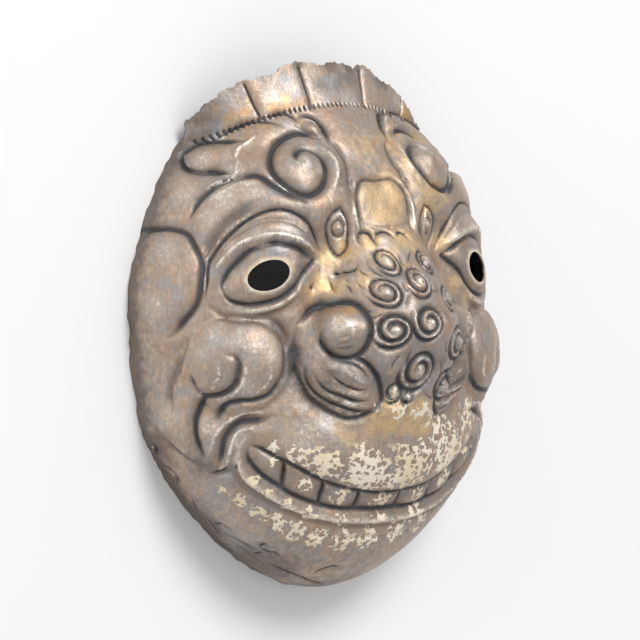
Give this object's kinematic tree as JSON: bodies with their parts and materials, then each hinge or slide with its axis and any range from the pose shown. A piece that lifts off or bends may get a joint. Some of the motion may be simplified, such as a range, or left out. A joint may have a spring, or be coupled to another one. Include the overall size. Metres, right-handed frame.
{
  "type": "face mask",
  "caption": "Hammered silver face mask of a grotesque being with a curled nose, toothed grin, pierced eyes and torn crown band, lying face up.",
  "frame": {"origin": "on the plane the rim rests on, under the middle of the bounding box in X and Y", "axes": "+Y runs from the chin to the crown, +Z from the rim to the tip of the nose, +X to the viewer's right as the face is seen from the front"},
  "size_m": [0.2194, 0.2738, 0.1164],
  "materials": {
    "silver": "hammered silver with warm grey-brown tarnish, dark lines, worn bright edges and traces of gilding"
  },
  "bodies": {
    "root": {"mask_shell": "silver"}
  },
  "joints": []
}
